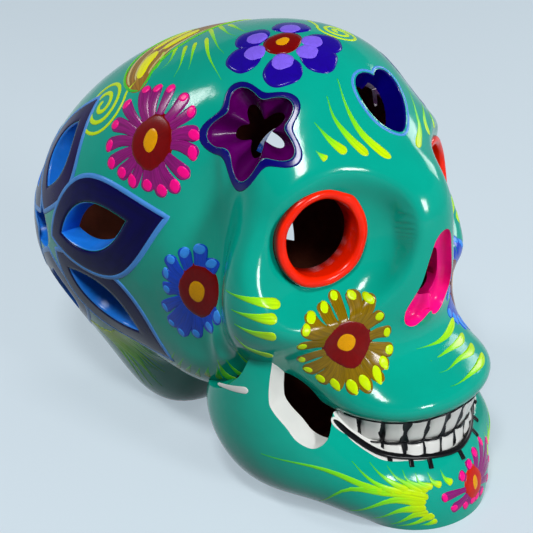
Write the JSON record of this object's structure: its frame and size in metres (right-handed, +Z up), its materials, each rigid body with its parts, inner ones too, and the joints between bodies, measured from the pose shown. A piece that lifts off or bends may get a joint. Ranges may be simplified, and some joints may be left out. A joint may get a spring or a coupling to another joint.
{
  "type": "pottery sugar skull",
  "caption": "Hollow glazed pottery skull with collared eyes, pear nose, toothed mouth and pierced heart, star and leaf openings.",
  "frame": {"origin": "on the surface it stands on, under the middle of its length and width", "axes": "+Z up, -Y the way the face looks, +X towards the skull's own left"},
  "size_m": [0.1034, 0.1817, 0.146],
  "materials": {
    "teal_glaze": "glossy glaze over fired clay, painted with folk flowers and strokes",
    "white_glaze": "glossy white glaze over fired clay",
    "red_glaze": "glossy red glaze over fired clay"
  },
  "bodies": {
    "root": {"right_shell": "teal_glaze", "left_shell": "teal_glaze", "right_jaw_half": "teal_glaze", "left_jaw_half": "teal_glaze", "right_eye_collar": "red_glaze", "left_eye_collar": "red_glaze", "upper_teeth": "white_glaze", "lower_teeth": "white_glaze"}
  },
  "joints": []
}
